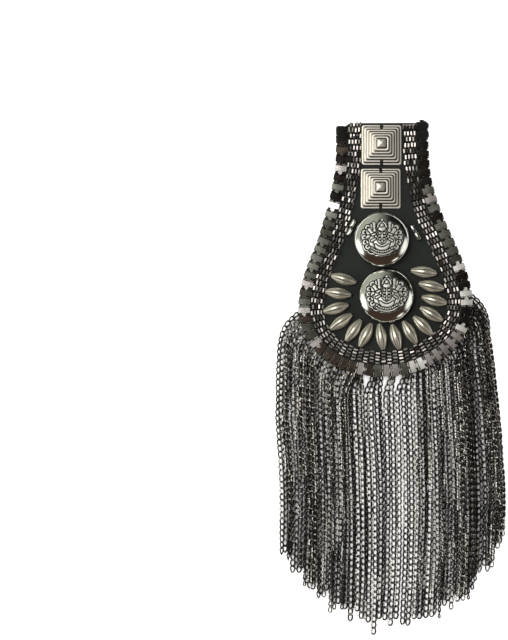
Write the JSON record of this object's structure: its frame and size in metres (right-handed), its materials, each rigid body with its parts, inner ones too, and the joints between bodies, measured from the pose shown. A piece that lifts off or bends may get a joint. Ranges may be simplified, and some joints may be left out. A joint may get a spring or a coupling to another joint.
{
  "type": "tassel epaulette",
  "caption": "Keyhole-shaped leather shoulder badge with chain edging, square studs, domed buttons, a fan of spindle beads and a deep curb chain fringe.",
  "frame": {"origin": "centre of the footprint, on the surface that the epaulette lies on", "axes": "+Y towards the collar end and away from the fringe, +Z out of the front, away from the shoulder"},
  "size_m": [0.104, 0.2312, 0.014],
  "materials": {
    "pad_leather": "black, fine grain, soft sheen",
    "stud_silver": "warm silver plating, polished, dark in the grooves",
    "button_silver": "polished silver plating, relief darkened in its hollows",
    "edge_gunmetal": "black nickel plating, mirror bright",
    "fine_gunmetal": "gunmetal plating, bright",
    "tube_silver": "silver lined, bright",
    "spindle_champagne": "champagne silver plating, polished ribs",
    "fringe_gunmetal": "gunmetal plating, bright",
    "pin_nickel": "plain nickel plating",
    "thread_black": "waxed black thread, matt"
  },
  "bodies": {
    "root": {"pad": "pad_leather", "stud_upper": "stud_silver", "stud_lower": "stud_silver", "button_upper": "button_silver", "button_lower": "button_silver", "edge_chain_neck_left": "edge_gunmetal", "edge_chain_bowl_left": "edge_gunmetal", "edge_chain_bowl_right": "edge_gunmetal", "edge_chain_neck_right": "edge_gunmetal", "fine_chain_1": "fine_gunmetal", "fine_chain_2": "fine_gunmetal", "fine_chain_3": "fine_gunmetal", "fine_chain_4": "fine_gunmetal", "tube_bead_1": "tube_silver", "tube_bead_2": "tube_silver", "tube_bead_3": "tube_silver", "tube_bead_4": "tube_silver", "spindle_bead_1": "spindle_champagne", "spindle_bead_2": "spindle_champagne", "spindle_bead_3": "spindle_champagne", "spindle_bead_4": "spindle_champagne", "spindle_bead_5": "spindle_champagne", "spindle_bead_6": "spindle_champagne", "spindle_bead_7": "spindle_champagne", "spindle_bead_8": "spindle_champagne", "spindle_bead_9": "spindle_champagne", "spindle_bead_10": "spindle_champagne", "spindle_bead_11": "spindle_champagne", "spindle_bead_12": "spindle_champagne", "spindle_bead_13": "spindle_champagne", "spindle_bead_14": "spindle_champagne", "fringe_left": "fringe_gunmetal", "fringe_middle": "fringe_gunmetal", "fringe_right": "fringe_gunmetal", "bar_pin": "pin_nickel"}
  },
  "joints": []
}
